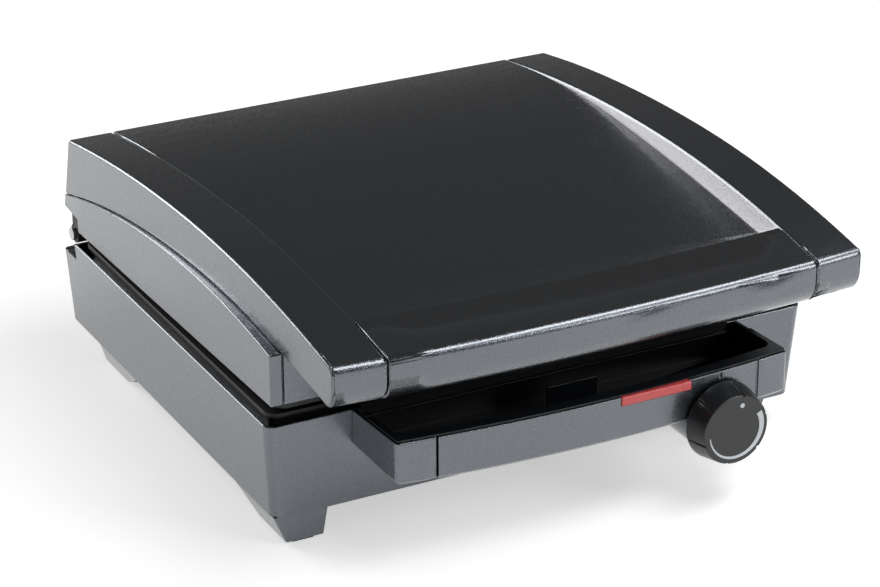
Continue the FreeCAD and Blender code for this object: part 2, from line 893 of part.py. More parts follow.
def upper_plate():
    pocket = pan_slab(pan_wall, 0.0, upper_roof_z)
    body = fuse([upper_rim_slab(0.0, upper_rim_base, upper_rim_top), pan_slab(0.0, upper_rim_base, upper_pan_z)])
    holes = [rod(V(x, y, upper_pan_z - floor_thickness / 2), V(0, 0, 1), screw_radius, floor_thickness)
             for x, y in plate_screw_places()]
    ribs = rib_teeth(upper_roof_z + rib_root, upper_roof_z - rib_height)
    return cut(fuse([body.cut(pocket)] + ribs), holes)


def plate_screws(z_head, z_tip):
    """Hexagon-headed screws whose heads rest on the reflector and whose tips are in the plate."""
    way = 1 if z_tip > z_head else -1
    hexagon = [(screw_head_radius * math.cos(math.radians(60 * k)),
                screw_head_radius * math.sin(math.radians(60 * k))) for k in range(6)]
    screws = []
    for x, y in plate_screw_places():
        head_end = z_head - way * screw_head_height
        head = plan_prism([(x + dx, y + dy) for dx, dy in hexagon], min(z_head, head_end), max(z_head, head_end))
        screws.append(head.fuse(rod(V(x, y, z_head), V(0, 0, way), screw_radius, abs(z_tip - z_head))))
    return Part.makeCompound(screws)


def lower_plate_screws():
    return plate_screws(lower_reflector_z - reflector_thickness, lower_pan_z + floor_thickness / 2)


def upper_plate_screws():
    return plate_screws(upper_reflector_z + reflector_thickness, upper_pan_z - floor_thickness / 2)


def element(z_plate, way):
    """Heater bent round the plate's back from two terminals; way is -1 under a plate and 1 over one."""
    wide, narrow = element_width / 2, element_width / 4
    profile = [(-wide, 0.0), (-narrow, element_height), (narrow, element_height), (wide, 0.0)]
    half = pan_half - element_inset
    depth = pan_rear - pan_front - 2 * element_inset
    inward = half - terminal_spread - terminal_bend - element_bend
    along = depth - 2 * element_bend
    moves = [("run", terminal_reach - terminal_bend), ("right", terminal_bend), ("run", inward),
             ("left", element_bend), ("run", along), ("left", element_bend), ("run", 2 * (half - element_bend)),
             ("left", element_bend), ("run", along), ("left", element_bend), ("run", inward),
             ("right", terminal_bend), ("run", terminal_reach - terminal_bend)]
    place = V(-terminal_spread, pan_rear - element_inset + terminal_reach, z_plate)
    heading = V(0, -1, 0)
    lengths = []
    for kind, size in moves:
        right = V(heading.y, -heading.x, 0)
        corners = [place + right * u + V(0, 0, way * v) for u, v in profile]
        section = Part.Face(Part.makePolygon(corners + corners[:1]))
        if kind == "run":
            lengths.append(section.extrude(heading * size))
            place = place + heading * size
        else:
            side = 1 if kind == "right" else -1
            centre = place + right * (side * size)
            lengths.append(section.revolve(centre, V(0, 0, -side), 90))
            place = centre + heading * size
            heading = right * side
    end = pan_rear - element_inset + terminal_reach
    tabs = [box(side * terminal_spread - blade_width / 2, side * terminal_spread + blade_width / 2, end - past,
                end + blade_length, z_plate + way * element_height / 2 - blade_thickness / 2,
                z_plate + way * element_height / 2 + blade_thickness / 2) for side in (-1, 1)]
    return fuse(lengths + tabs)


def lower_heating_element():
    return element(lower_pan_z, -1)


def upper_heating_element():
    return element(upper_pan_z, 1)


def reflector(z_inner, way):
    """Folded sheet pan behind a heater; way is -1 under the lower plate and 1 over the upper one."""
    z_outer = z_inner + way * reflector_thickness
    z_rim = z_inner - way * reflector_wall

    def pan(inset, za, zb):
        side = reflector_inset + inset
        return cut_corner_slab(-pan_half + side, pan_half - side, pan_front + side, pan_rear - side,
                               min(za, zb), max(za, zb), reflector_corner)

    body = pan(0.0, z_outer, z_rim).cut(pan(reflector_thickness, z_inner, z_rim - way * past))
    holes = [rod(V(x, y, min(z_inner, z_outer) - past), V(0, 0, 1), screw_radius + seat_gap, 2 * past)
             for x, y in plate_screw_places()]
    return cut(body, holes)


def lower_reflector():
    return reflector(lower_reflector_z, -1)


def upper_reflector():
    return reflector(upper_reflector_z, 1)


def clamps(z_element, z_back):
    """Straps that press the heater to the plate; each stands on the reflector."""
    way = 1 if z_back > z_element else -1
    half = pan_half - element_inset
    y0, y1 = pan_middle - clamp_width / 2, pan_middle + clamp_width / 2
    over = z_element + way * clamp_thickness
    straps = []
    for side in (-1, 1):
        x = side * half
        outside = box(x - clamp_width, x + clamp_width, y0, y1, min(z_element, z_back), max(z_element, z_back))
        inside = box(x - clamp_width + clamp_thickness, x + clamp_width - clamp_thickness, y0 - past, y1 + past,
                     min(over, over + way * base_width), max(over, over + way * base_width))
        straps.append(outside.cut(inside))
    return Part.makeCompound(straps)


def lower_element_clamps():
    return clamps(lower_pan_z - element_height, lower_reflector_z)


def upper_element_clamps():
    return clamps(upper_pan_z + element_height, upper_reflector_z)


# Lid cover


def arc_radius(run, fall):
    """Radius of an arc that starts level and falls by a height over a run."""
    return (run ** 2 + fall ** 2) / (2 * fall)


def arch(y):
    """Height of the lid's upper edge: two arcs that meet level at the apex."""
    radius = arch_front_radius
    if y > arch_apex_y:
        radius = arc_radius(lid_rear_top - arch_apex_y, lid_height - lid_rear_height)
    return base_top + lid_height - radius + math.sqrt(radius ** 2 - (y - arch_apex_y) ** 2)


def panel_height(y):
    """Height of the middle panel, which sinks below the arch towards the finger recess."""
    share = min(max((recess_start - y) / (recess_start - recess_full), 0.0), 1.0)
    return arch(y) - recess_depth * (1 - math.cos(math.pi * share)) / 2


def seam_x(y):
    return strip_seam_front + (strip_seam_rear - strip_seam_front) * (y + lip_front) / (lid_rear_top + lip_front)


def seam_wedge(gap):
    """Everything between the two tapering seams, narrowed by a gap on each side."""
    y0, y1 = -lip_front - past, rear_wall_foot_y + past
    return plan_prism([(-seam_x(y0) + gap, y0), (seam_x(y0) - gap, y0), (seam_x(y1) - gap, y1),
                       (-seam_x(y1) + gap, y1)], foot_z, sky)


def seam_bow():
    """How far the lip's front has fallen back where the seams meet it."""
    return lip_radius - math.sqrt(lip_radius ** 2 - strip_seam_front ** 2)


def turned_about_lip_axis(face):
    """Solid swept by a side-view face about the upright axis of the lip's bow."""
    half_turn = math.degrees(math.asin(half_base / lip_radius))
    face.rotate(V(0, lip_axis_y, 0), V(0, 0, 1), -half_turn)
    return face.revolve(V(0, lip_axis_y, 0), V(0, 0, 1), 2 * half_turn)


def lip_curl(inset):
    """Side view of the lip's underside: where its face ends, a bulge, and its rolled end."""
    front = -lip_front + inset
    face_z = base_top + lip_face_height
    under_z = base_top + lip_under_height
    bulge = V(0, front + lip_under_depth / 4, (face_z + under_z) / 2 - lip_bulge)
    return V(0, front, face_z), bulge, V(0, front + lip_under_depth, under_z)


def lip_sheet():
    """Handle lip of the middle panel, from the recess's valley over the crest to its rolled end."""
    lift = seam_bow()
    valley_z = panel_height(recess_valley)
    rise_from = V(0, recess_valley - valley_length, valley_z)
    crest = V(0, recess_crest, arch(recess_crest + lift))
    nose_y = -lip_front + lip_nose_radius
    nose = V(0, nose_y, arch(nose_y + lift))
    k = lip_nose_radius * (1 - math.sqrt(0.5))
    face_start = V(0, -lip_front, nose.z - lip_nose_radius)
    face_end, bulge, end = lip_curl(0.0)
    rise_mid = V(0, crest.y + (rise_from.y - crest.y) * lip_rise_run,
                 crest.z + (rise_from.z - crest.z) * lip_rise_share)
    outer = [line(V(0, recess_valley, valley_z), rise_from), arc(rise_from, rise_mid, crest), line(crest, nose),
             arc(nose, V(0, -lip_front + k, nose.z - k), face_start), line(face_start, face_end),
             arc(face_end, bulge, end)]
    inner_face, inner_bulge, inner_end = lip_curl(lid_wall)
    inner = [V(0, recess_valley, valley_z - lid_wall), V(0, rise_from.y - lid_wall / 2, valley_z - lid_wall),
             V(0, rise_mid.y - lid_wall, rise_mid.z - lid_wall / 2), V(0, crest.y - lid_wall, crest.z - lid_wall),
             V(0, nose.y, nose.z - lid_wall), V(0, inner_face.y, face_start.z), inner_face, inner_bulge, inner_end]
    edges = outer + [line(end, inner_end)] + [line(a, b) for a, b in zip(inner, inner[1:])]
    return turned_about_lip_axis(face_of(edges + [line(inner[0], V(0, recess_valley, valley_z))]))


def panel_sheet():
    """Sunk panel behind the lip: two arcs and the level floor of the valley."""
    x = -half_lid
    level = recess_valley + valley_length
    middle = (lid_rear_top + level) / 2
    low_z = panel_height(recess_valley)

    def top(drop):
        points = [V(x, y, panel_height(y) - drop) for y in
                  (lid_rear_top, (lid_rear_top + middle) / 2, middle, (middle + level) / 2)]
        points += [V(x, level, low_z - drop), V(x, recess_valley - past, low_z - drop)]
        return points

    outer, inner = top(0.0), top(lid_wall)
    edges = []
    for points in (outer, inner):
        edges += [arc(points[0], points[1], points[2]), arc(points[2], points[3], points[4]),
                  line(points[4], points[5])]
    edges += [line(outer[0], inner[0]), line(outer[5], inner[5])]
    sheet = face_of(edges).extrude(V(2 * half_lid, 0, 0))
    behind = Part.makeCylinder(lip_axis_y - recess_valley, sky, V(0, lip_axis_y, 0))
    return sheet.common(behind)


def lid_middle_panel():
    return fuse([panel_sheet(), lip_sheet()]).common(seam_wedge(seam_gap / 2))


def strip_side_x(y):
    """The cover's side wall, a little wider at the back."""
    return half_lid + lid_taper * (y + lip_front) / (lid_rear_top + lip_front)


def beyond_side_wall(inset):
    y0, y1 = -lip_front - past, rear_wall_foot_y + past
    return plan_prism([(strip_side_x(y0) - inset, y0), (base_width, y0), (base_width, y1),
                       (strip_side_x(y1) - inset, y1)], foot_z, sky)


def strip_block(inset, drop):
    """Solid under the arch with the lip in front; its lower edge can be dropped to open a shell."""
    x0, x1 = strip_seam_front - past, half_lid + past
    far = -lip_front - past

    def low(y, z):
        return V(x0, y, z - drop)
    front_top = V(x0, far, arch(far) - inset)
    front_mid = V(x0, (far + arch_apex_y) / 2, arch((far + arch_apex_y) / 2) - inset)
    apex = V(x0, arch_apex_y, arch(arch_apex_y) - inset)
    rear_mid = V(x0, (lid_rear_top + arch_apex_y) / 2, arch((lid_rear_top + arch_apex_y) / 2) - inset)
    rear = V(x0, lid_rear_top - inset, arch(lid_rear_top) - inset)
    rear_y = wing_rear_y()

    def on_wing(y):
        return low(y, wing_top(y) + strip_stand)
    rear_low = low(rear_y - inset, wing_top(rear_y) + strip_stand)
    rear_low_mid = on_wing((rear_y + wing_apex_y) / 2)
    low_apex = on_wing(wing_apex_y)
    ledge = on_wing(-wing_front)
    front_low_mid = on_wing((wing_apex_y - wing_front) / 2)
    cheek = low(cheek_end_y, base_top + cheek_end_height)
    fall = (cheek_end_height - cheek_lip_height) / (cheek_end_y - cheek_lip_y)
    cheek_far = low(far, base_top + cheek_end_height + fall * (far - cheek_end_y))
    side_view = [arc(front_top, front_mid, apex), arc(apex, rear_mid, rear), line(rear, rear_low),
                 arc(rear_low, rear_low_mid, low_apex), arc(low_apex, front_low_mid, ledge), line(ledge, cheek),
                 line(cheek, cheek_far), line(cheek_far, front_top)]
    block = face_of(side_view).extrude(V(x1 - x0, 0, 0))
    block = block.common(Part.makeCylinder(lip_radius - inset, sky, V(0, lip_axis_y, 0)))
    front_edges = [edge for edge in block.Edges
                   if edge.BoundBox.YMax < -lip_front + 2 * lip_bow and edge.BoundBox.XLength > x1 - x0 - past
                   and edge.BoundBox.ZMin > base_top + lip_face_height]
    if inset == 0:
        block = block.makeFillet(lip_nose_radius, front_edges)
    face_end, bulge, end = lip_curl(inset)
    heel = V(0, end.y + heel_depth, base_top + cheek_lip_height - drop)
    tool = [V(0, heel.y, foot_z), V(0, face_end.y - 2 * past, foot_z), V(0, face_end.y - 2 * past, face_end.z)]
    under_lip = face_of([arc(face_end, bulge, end), line(end, heel), line(heel, tool[0]), line(tool[0], tool[1]),
                         line(tool[1], tool[2]), line(tool[2], face_end)])
    return block.cut(turned_about_lip_axis(under_lip))


def lid_right_strip():
    """Side strip of the cover: top, outer wall, rear wall, and an inner wall as deep as the recess."""
    outer = cut(strip_block(0.0, 0.0), [beyond_side_wall(0.0), seam_wedge(-seam_gap / 2)])
    open_below = arch(lid_rear_top) - base_top - cheek_lip_height
    inner = cut(strip_block(lid_wall, open_below), [beyond_side_wall(lid_wall),
                                                    seam_wedge(-seam_gap / 2 - lid_wall)])
    shell = outer.cut(inner)
    deeper = outer.copy()
    deeper.translate(V(0, 0, -recess_depth - lid_wall))
    beside_seam = seam_wedge(-seam_gap / 2 - lid_wall)
    behind_lip = box(0, half_base, recess_crest, lid_rear_top - lid_wall, 0, sky)
    return cut(shell, [deeper.common(beside_seam).common(behind_lip)])


def lid_left_strip():
    return mirrored(lid_right_strip())


# Lid frame


def wing_x(y):
    return half_base - wing_inset - wing_toe_in * y / lid_rear_top


def wing_top(y):
    """Height of the wing's arched upper edge."""
    radius = wing_front_radius
    if y > wing_apex_y:
        radius = arc_radius(lid_rear_top - wing_apex_y, wing_apex_height - wing_rear_height)
    return base_top + wing_apex_height - radius + math.sqrt(radius ** 2 - (y - wing_apex_y) ** 2)


def lid_rear_wall_y(z):
    """The lid's rear wall leans out towards the floor."""
    top = arch(lid_rear_top)
    foot_top = base_top + rear_wall_foot_height
    return rear_wall_foot_y - (rear_wall_foot_y - lid_rear_top) * (z - foot_top) / (top - foot_top)


def wing_rear_y():
    """Where the wing's arched edge meets the leaning rear wall, found in steps."""
    y = lid_rear_top
    for _ in range(wing_meeting_steps):
        y = lid_rear_wall_y(wing_top(y))
    return y


def wing_slab():
    """The wing's side view, from the middle of the lid out past its side."""
    rear_y = wing_rear_y()
    rear_z = wing_top(rear_y)
    front_top = V(0, wing_front, wing_top(wing_front))
    apex = V(0, wing_apex_y, wing_top(wing_apex_y))
    rear_mid = (rear_y + wing_apex_y) / 2
    front_mid = (wing_front + wing_apex_y) / 2
    low = [front_top, V(0, wing_front, base_top + frame_front_edge),
           V(0, frame_step_y, base_top + frame_rear_edge), V(0, frame_step_y, base_top + rear_step_height),
           V(0, rear_wall_foot_y, base_top + rear_wall_foot_height), V(0, rear_y, rear_z)]
    edges = [line(a, b) for a, b in zip(low, low[1:])]
    edges += [arc(low[-1], V(0, rear_mid, wing_top(rear_mid)), apex),
              arc(apex, V(0, front_mid, wing_top(front_mid)), front_top)]
    return face_of(edges).extrude(V(base_width, 0, 0))


def right_wing():
    """Proud side wing: an outer wall with a ledge on top that carries the cover's side."""
    y0, y1 = wing_front - past, rear_wall_foot_y + past
    shape = wing_slab()
    outside = plan_prism([(wing_x(y0), y0), (2 * base_width, y0), (2 * base_width, y1), (wing_x(y1), y1)], 0, sky)
    middle = box(-past, half_lid - wing_return, y0, y1, 0, sky)
    inner_front, inner_rear = wing_front + lid_wall, rear_wall_foot_y - lid_wall
    beside_end = box(-past, wing_end_x, y0, inner_front, 0, sky)
    room_plan = plan_prism([(-past, inner_front), (wing_x(inner_front) - lid_wall, inner_front),
                            (wing_x(inner_rear) - lid_wall, inner_rear), (-past, inner_rear)], 0, sky)
    under_ledge = shape.copy()
    under_ledge.translate(V(0, 0, -lid_wall))
    down = shape.copy()
    down.translate(V(0, 0, -wing_ledge_drop))
    return cut(shape, [outside, middle, beside_end, fuse([under_ledge, down]).common(room_plan)])


def frame_front_wall():
    """Front wall under the lip, with a wall behind it that leaves a shadow line beside each wing's end."""
    face_half = wing_end_x - shadow_line
    back_half = wing_x(0.0) - lid_wall / 2
    back_y = frame_front_y + shadow_depth
    wide_top = wing_top(wing_front)
    middle_half = strip_seam_front - seam_gap
    middle_top = panel_height(recess_valley) - lid_wall
    z0 = base_top + front_wall_edge
    return [box(-face_half, face_half, frame_front_y, back_y + lid_wall, z0, wide_top),
            box(-back_half, back_half, back_y, back_y + lid_wall, base_top + frame_front_edge, wide_top),
            box(-middle_half, middle_half, frame_front_y, frame_front_y + lid_wall, wide_top - past, middle_top)]


def frame_rear_wall():
    """Leaning rear wall with the step over the hinges; above the strips' lower edge it is narrower."""
    step = base_top + rear_step_height
    foot_top = base_top + rear_wall_foot_height
    top = arch(lid_rear_top) - lid_wall - seat_gap
    inner_step = frame_step_y - lid_wall
    profile = [(rear_wall_foot_y, foot_top), (lid_rear_wall_y(top), top), (lid_rear_wall_y(top) - lid_wall, top),
               (rear_wall_foot_y - lid_wall, foot_top + lid_wall), (inner_step, step + lid_wall),
               (inner_step, base_top + frame_rear_edge), (frame_step_y, base_top + frame_rear_edge),
               (frame_step_y, step)]
    wide = wing_x(rear_wall_foot_y)
    beside = seam_x(lid_rear_top) - seam_gap
    strip_low = wing_top(wing_rear_y())
    corners = [box(beside, base_width, deck_y, rear_wall_foot_y + past, strip_low, sky),
               box(-base_width, -beside, deck_y, rear_wall_foot_y + past, strip_low, sky)]
    return cut(side_prism(profile, -wide, wide), corners)


def lid_frame():
    """Wings, front wall, rear wall, and a web between them with a skirt that stands on the upper plate's rim."""
    wing = right_wing()
    y0, y1 = frame_front_y + shadow_depth + lid_wall / 2, frame_step_y - lid_wall / 2
    front_half, rear_half = wing_x(y0) - lid_wall / 2, wing_x(y1) - lid_wall / 2
    web_top = web_z + frame_flange
    web = plan_prism([(-front_half, y0), (front_half, y0), (rear_half, y1), (-rear_half, y1)], web_z, web_top)
    skirt = upper_rim_slab(frame_skirt_inset, upper_rim_top, web_top)
    room = upper_rim_slab(frame_skirt_inset + frame_flange, upper_rim_top - past, sky)
    return fuse([wing, mirrored(wing)] + frame_front_wall() + [frame_rear_wall(), web.fuse(skirt).cut(room)])


# Hinges


def hinge_ring(x0, x1, radius):
    return rod(V(x0, hinge_y, hinge_z), V(1, 0, 0), radius, x1 - x0)


def arm_span():
    """Where the right arm lies across the appliance."""
    return hinge_centre_x - hinge_arm_width / 2, hinge_centre_x + hinge_arm_width / 2


def ear_span():
    """Where the bracket's ear lies, beside the arm."""
    end = arm_span()[0] - fit_gap
    return end - hinge_ear, end


def hinge_bracket_right():
    """Ear round the pin on a foot that stands on the rear deck."""
    ear0, ear1 = ear_span()
    front, rear = hinge_y - hinge_barrel_radius, hinge_y + hinge_barrel_radius
    post = box(ear0, ear1, front, hinge_y + hinge_barrel_radius / 2, deck_z, hinge_z)
    foot_plate = box(ear0, arm_span()[1], deck_y + fit_gap, rear - hinge_barrel_radius / 2, deck_z,
                     deck_z + hinge_foot_thickness)
    body = fuse([hinge_ring(ear0, ear1, hinge_barrel_radius), post, foot_plate])
    return cut(body, [hinge_ring(ear0 - past, ear1 + past, hinge_pin_radius)])


def hinge_bracket_left():
    return mirrored(hinge_bracket_right())


def hinge_pins():
    head = arm_span()[1] + fit_gap
    pin = fuse([hinge_ring(ear_span()[0], head, hinge_pin_radius),
                hinge_ring(head, head + hinge_head_length, hinge_pin_head)])
    return Part.makeCompound([pin, mirrored(pin)])


def hinge_arm_right():
    """Lid half of the hinge: an eye round the pin and a stem up to the lid's rear step."""
    arm0, arm1 = arm_span()
    slope = (rear_wall_foot_height - rear_step_height) / (rear_wall_foot_y - frame_step_y)

    def under_step(y):
        return base_top + rear_step_height + slope * (y - frame_step_y)
    front, back = frame_step_y + fit_gap, hinge_y + hinge_barrel_radius / 2
    stem = side_prism([(hinge_y - hinge_barrel_radius, hinge_z), (back, hinge_z), (back, under_step(back)),
                       (front, under_step(front)), (front, hinge_z + past)], arm0, arm1)
    bore = hinge_ring(arm0 - past, arm1 + past, hinge_pin_radius + fit_gap)
    return cut(fuse([hinge_ring(arm0, arm1, hinge_barrel_radius), stem]), [bore])


def hinge_arm_left():
    return mirrored(hinge_arm_right())


# Inlet, terminal block and cut-out


def on_rear_wall(shape):
    """Shape built round the y axis, tilted square to the leaning rear wall and moved to the inlet."""
    lean = math.atan(rear_draft / (base_top - foot_z))
    placed = shape.copy()
    placed.rotate(V(0, 0, 0), V(1, 0, 0), -math.degrees(lean))
    placed.translate(V(gland_x, rear_wall_y(gland_height), gland_height))
    return placed


def cord_gland():
    """Bush in the rear wall for the mains lead, bored through, with its square flange on the inside."""
    through = wall * math.cos(math.atan(rear_draft / (base_top - foot_z)))
    collar = rod(V(0, -gland_inside, 0), V(0, 1, 0), gland_radius, gland_inside + gland_stand)
    half = gland_flange_half
    flange = box(-half, half, -through - gland_flange, -through, -half, half)
    bore = rod(V(0, -2 * gland_inside, 0), V(0, 1, 0), gland_bore, 4 * gland_inside)
    return on_rear_wall(cut(fuse([collar, flange]), [bore]))


def terminal_block():
    """Block on the bottom cover with a lead opening through each way and a screw well over it."""
    z0 = foot_z + wall
    y0 = rear_wall_y(gland_height) - block_setback - block_width
    body = box(gland_x - block_length / 2, gland_x + block_length / 2, y0, y0 + block_width, z0, z0 + block_height)
    half = block_opening / 2
    rooms = []
    for way in range(block_ways):
        x = gland_x + (way - (block_ways - 1) / 2) * block_length / block_ways
        middle_z = z0 + block_way_height
        rooms.append(box(x - half, x + half, y0 - past, y0 + block_width + past, middle_z - half, middle_z + half))
        rooms += [box(x - half, x + half, y - half, y + half, middle_z, z0 + block_height + past)
                  for y in (y0 + block_well_edge, y0 + block_width - block_well_edge)]
    return cut(body, rooms)


def thermal_cutout():
    """Round cut-out on the lower reflector with two terminals that point down."""
    z1 = lower_reflector_z - reflector_thickness
    y = pan_front + cutout_from_front
    body = rod(V(cutout_x, y, z1), V(0, 0, -1), cutout_radius, cutout_height)
    tabs = [box(x - blade_width / 2, x + blade_width / 2, y - blade_thickness / 2, y + blade_thickness / 2,
                z1 - cutout_height - blade_length, z1 - cutout_height)
            for x in (cutout_x - cutout_radius / 2, cutout_x + cutout_radius / 2)]
    return fuse([body] + tabs)


def main():
    os.makedirs("parts", exist_ok=True)
    makers = [base_housing, base_rear_wall, foot_legs, base_bottom_cover, rubber_feet, bottom_cover_screws,
              front_console, control_panel, pilot_lens, pilot_lamp, thermostat_body, thermostat_shaft,
              control_knob, drip_tray, lower_plate, upper_plate, lower_plate_screws, upper_plate_screws,
              lower_heating_element, upper_heating_element, lower_reflector, upper_reflector,
              lower_element_clamps, upper_element_clamps, lid_middle_panel, lid_right_strip, lid_left_strip,
              lid_frame, hinge_bracket_left, hinge_bracket_right, hinge_pins, hinge_arm_left,
              hinge_arm_right, cord_gland, terminal_block, thermal_cutout]
    for maker in makers:
        write(maker.__name__, maker())


main()
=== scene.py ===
# %% [markdown]
# # A sandwich maker, finished on its frame
# The appliance is a low metallic-grey box with an arched lid, a console with a black drip tray in front, and
# a round knob. Its pieces come as exact solids, in metres, in the places where they belong. This lesson gives
# each one its finish, rounds the edges that catch the light, prints the knob, and sets up the floor, the
# lights and the camera. The pieces could be modelled again here, but exact solids keep every fit, so they are
# kept.

# %% Load the pieces
import bpy
import bmesh
import math
from mathutils import Matrix, Vector


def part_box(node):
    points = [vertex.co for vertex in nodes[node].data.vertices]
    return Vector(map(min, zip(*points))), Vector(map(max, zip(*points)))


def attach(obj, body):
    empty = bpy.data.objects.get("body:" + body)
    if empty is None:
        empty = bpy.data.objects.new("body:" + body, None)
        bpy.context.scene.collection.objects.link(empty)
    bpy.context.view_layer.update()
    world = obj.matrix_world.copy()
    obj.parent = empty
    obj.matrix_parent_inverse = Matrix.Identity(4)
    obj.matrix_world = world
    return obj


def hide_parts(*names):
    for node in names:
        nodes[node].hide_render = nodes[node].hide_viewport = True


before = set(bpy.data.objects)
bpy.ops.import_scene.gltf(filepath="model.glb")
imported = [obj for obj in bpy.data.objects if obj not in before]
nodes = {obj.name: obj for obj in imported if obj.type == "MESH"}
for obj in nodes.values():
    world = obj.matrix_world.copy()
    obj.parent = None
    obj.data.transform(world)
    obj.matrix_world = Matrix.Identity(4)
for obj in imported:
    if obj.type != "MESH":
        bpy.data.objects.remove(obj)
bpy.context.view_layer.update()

scene = bpy.context.scene

# %% [markdown]
# ## Camera
# The photograph is taken from the front left, from above, with a long lens. A long lens far away keeps the
# upright edges nearly parallel. The camera stands where the sight lines of the photograph meet. Its matrix
# could be typed in as numbers, but it is built from three angles, because angles can be checked by eye. Its
# frame is shifted a little, as the picture was cropped.

# %% Camera at the photograph's viewpoint
PICTURE_WIDTH = 880
SENSOR_WIDTH = 36
CAMERA_PLACE = Vector((-0.7649, -1.46766, 0.8216))
TURN, TILT, ROLL = math.radians(-27.708), math.radians(24.433), math.radians(-0.136)
FOCAL_PIXELS = 3068.2
SHIFT_PIXELS = (-17.9, 4.6)


def add_camera(place, turn, tilt, roll):
    """Camera that looks at the appliance: turned to its left, tilted down, with a slight roll."""
    forward = -Vector((math.sin(turn) * math.cos(tilt), -math.cos(turn) * math.cos(tilt), math.sin(tilt)))
    level = forward.cross(Vector((0, 0, 1))).normalized()
    upright = level.cross(forward)
    across = level * math.cos(roll) + upright * math.sin(roll)
    up = upright * math.cos(roll) - level * math.sin(roll)
    camera = bpy.data.cameras.new("photo_camera")
    camera.sensor_width = SENSOR_WIDTH
    camera.sensor_fit = "HORIZONTAL"
    camera.lens = FOCAL_PIXELS / PICTURE_WIDTH * camera.sensor_width
    camera.shift_x, camera.shift_y = (pixels / PICTURE_WIDTH for pixels in SHIFT_PIXELS)
    holder = bpy.data.objects.new("photo_camera", camera)
    scene.collection.objects.link(holder)
    matrix = Matrix((across, up, -forward)).transposed().to_4x4()
    matrix.translation = place
    holder.matrix_world = matrix
    return holder


scene.camera = add_camera(CAMERA_PLACE, TURN, TILT, ROLL)
print("lens", round(scene.camera.data.lens, 1), "mm")

# %% [markdown]
# ## Building blocks for finishes
# Every finish is made from nodes, so it has detail at any distance and needs no pictures. Patterns are placed
# by Object coordinates, in metres, so a flake or a grain has its real size and stays on its piece. They could
# be set up anew for each finish, but small helpers keep them alike. One of them rounds sharp edges in the
# shading alone, as a real moulded edge is never a knife edge.

# %% Start a material


def start_finish(name):
    """Material, its node tree and its main shader."""
    finish = bpy.data.materials.new(name)
    finish.use_nodes = True
    tree = finish.node_tree
    return finish, tree, tree.nodes["Principled BSDF"]


def add(tree, kind, **settings):
    """New node with its settings."""
    node = tree.nodes.new(kind)
    for key, value in settings.items():
        setattr(node, key, value)
    return node


def set_sockets(node, values):
    """Writes values on a node's own sockets."""
    for socket, value in values.items():
        node.inputs[socket].default_value = value


def object_place(tree):
    """Place on the piece, in metres."""
    return add(tree, "ShaderNodeTexCoord").outputs["Object"]


print("materials can be started")

# %% Soft edges, grain and relief
EDGE_SAMPLES = 6


def soft_edge(tree, radius):
    """Normal that rounds sharp edges by a radius."""
    rounding = add(tree, "ShaderNodeBevel", samples=EDGE_SAMPLES)
    set_sockets(rounding, {"Radius": radius})
    return rounding.outputs["Normal"]


def grain(tree, size):
    """Noise with grains of a size."""
    noise = add(tree, "ShaderNodeTexNoise")
    set_sockets(noise, {"Scale": 1 / size, "Detail": 2.0})
    tree.links.new(object_place(tree), noise.inputs["Vector"])
    return noise.outputs["Fac"]


def bumped(tree, height, depth, normal):
    """Normal with relief of a depth."""
    bump = add(tree, "ShaderNodeBump")
    set_sockets(bump, {"Strength": 1.0, "Distance": depth})
    tree.links.new(height, bump.inputs["Height"])
    tree.links.new(normal, bump.inputs["Normal"])
    return bump.outputs["Normal"]


print("soft edges, grain and relief ready")

# %% Colours and values between two ends
# A Mix node has a set of sockets for each type of data. These are its colour sockets.
MIX_LOW, MIX_HIGH, MIX_RESULT = 6, 7, 2


def between(tree, factor, low, high):
    """Colour between two, by a factor."""
    mix = add(tree, "ShaderNodeMix", data_type="RGBA")
    tree.links.new(factor, mix.inputs["Factor"])
    set_sockets(mix, {MIX_LOW: (*low, 1), MIX_HIGH: (*high, 1)})
    return mix.outputs[MIX_RESULT]


def shades(tree, factor, colour, darkest, lightest):
    """One colour, darker and lighter by a factor."""
    return between(tree, factor, [part * darkest for part in colour], [part * lightest for part in colour])


def spread(tree, value, low, high):
    """Value from 0..1 stretched to a range."""
    stretch = add(tree, "ShaderNodeMapRange")
    set_sockets(stretch, {"To Min": low, "To Max": high})
    tree.links.new(value, stretch.inputs["Value"])
    return stretch.outputs["Result"]


print("colour and value ranges ready")

# %% [markdown]
# ## Metallic-flake lacquer
# The shell is sprayed with lacquer that holds tiny metal flakes, under a clear coat. Each flake lies at its
# own angle, so single flakes glint while the surface as a whole stays soft. It could be a fine noise on the
# colour alone, but then nothing would glint. Here cells of a Voronoi pattern stand for the flakes: each cell
# has its own shade and its own small tilt. The walls beside the sunk part of the lid look far paler than the
# rest, because they catch the light. Their lacquer is a paler copy of the shell's, with painted light in its
# colour, and its shading leans upward.

# %% Lacquer with flakes
FLAKE_SIZE = 0.0003
LACQUER_EDGE = 0.0004
CLEAR_COAT = {"Coat Weight": 1.0, "Coat IOR": 1.6, "Coat Roughness": 0.16}


def tilted(tree, flakes, flake_tilt, lean_up):
    """Normal that each flake tilts by its own amount, with a lean of the whole face upward."""
    centred = add(tree, "ShaderNodeVectorMath", operation="SUBTRACT")
    tree.links.new(flakes, centred.inputs[0])
    centred.inputs[1].default_value = (0.5, 0.5, 0.5 - lean_up / flake_tilt)
    tilt = add(tree, "ShaderNodeVectorMath", operation="SCALE")
    tree.links.new(centred.outputs["Vector"], tilt.inputs[0])
    set_sockets(tilt, {"Scale": flake_tilt})
    lean = add(tree, "ShaderNodeVectorMath", operation="ADD")
    tree.links.new(soft_edge(tree, LACQUER_EDGE), lean.inputs[0])
    tree.links.new(tilt.outputs["Vector"], lean.inputs[1])
    unit = add(tree, "ShaderNodeVectorMath", operation="NORMALIZE")
    tree.links.new(lean.outputs["Vector"], unit.inputs[0])
    return unit.outputs["Vector"]


